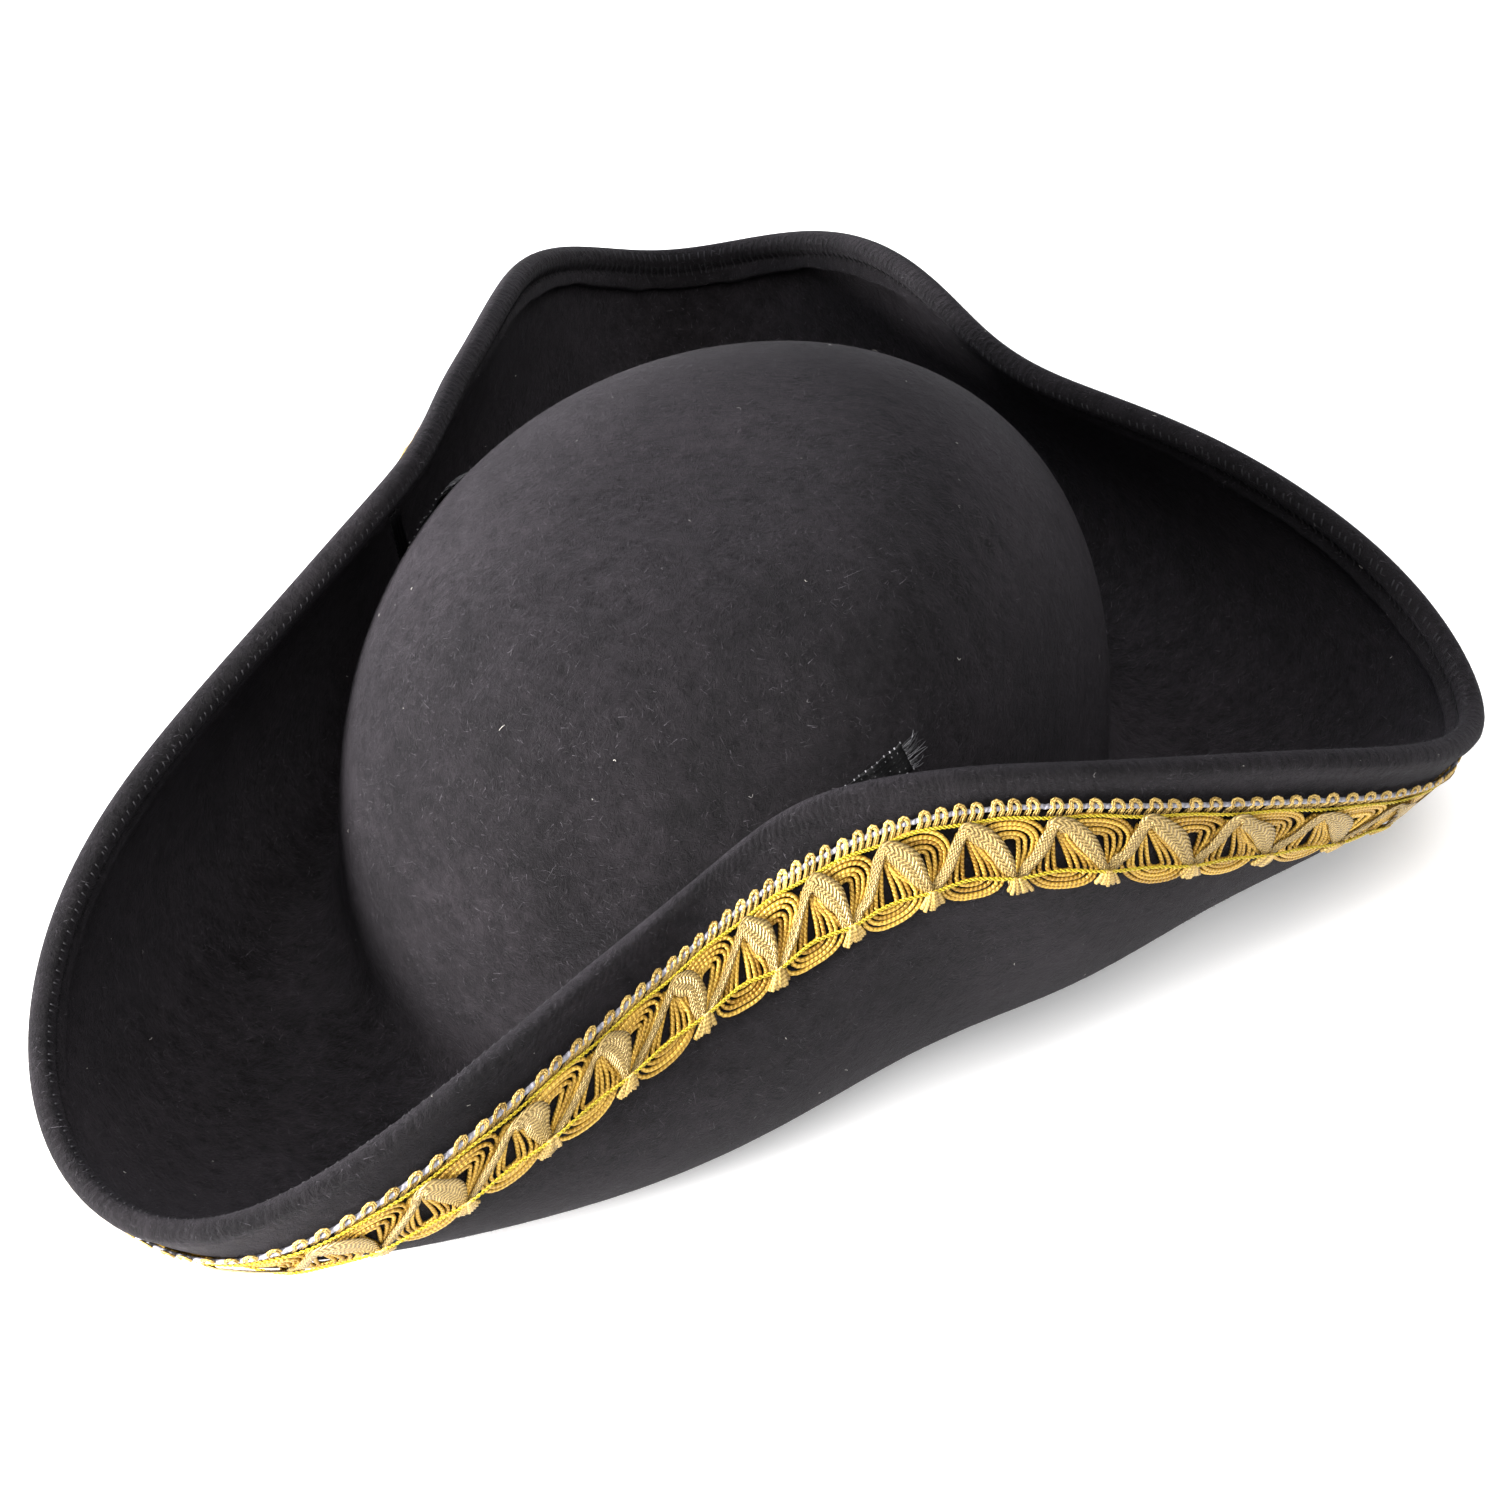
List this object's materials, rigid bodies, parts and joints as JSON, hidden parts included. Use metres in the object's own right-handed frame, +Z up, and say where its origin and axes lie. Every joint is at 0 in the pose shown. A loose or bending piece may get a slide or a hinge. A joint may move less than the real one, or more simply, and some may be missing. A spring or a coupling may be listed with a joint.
{
  "type": "tricorn hat",
  "caption": "Felt hat worn on the head, with a domed crown and a brim turned up on three sides into corners, edged outside with a pierced braid.",
  "frame": {"origin": "on the surface that the hat rests on, under the middle of its outline", "axes": "+Z up through the crown, -Y to the hat's front corner, +X to the wearer's left"},
  "size_m": [0.2776, 0.3348, 0.1169],
  "materials": {
    "felt": "matte napped wool felt",
    "braid": "woven metallic yarn with a soft sheen",
    "ribbon": "thin woven nylon, slightly shiny"
  },
  "bodies": {
    "root": {"felt_body": "felt", "gold_braid": "braid", "tack_ribbon_left": "ribbon", "tack_ribbon_right": "ribbon"}
  },
  "joints": []
}
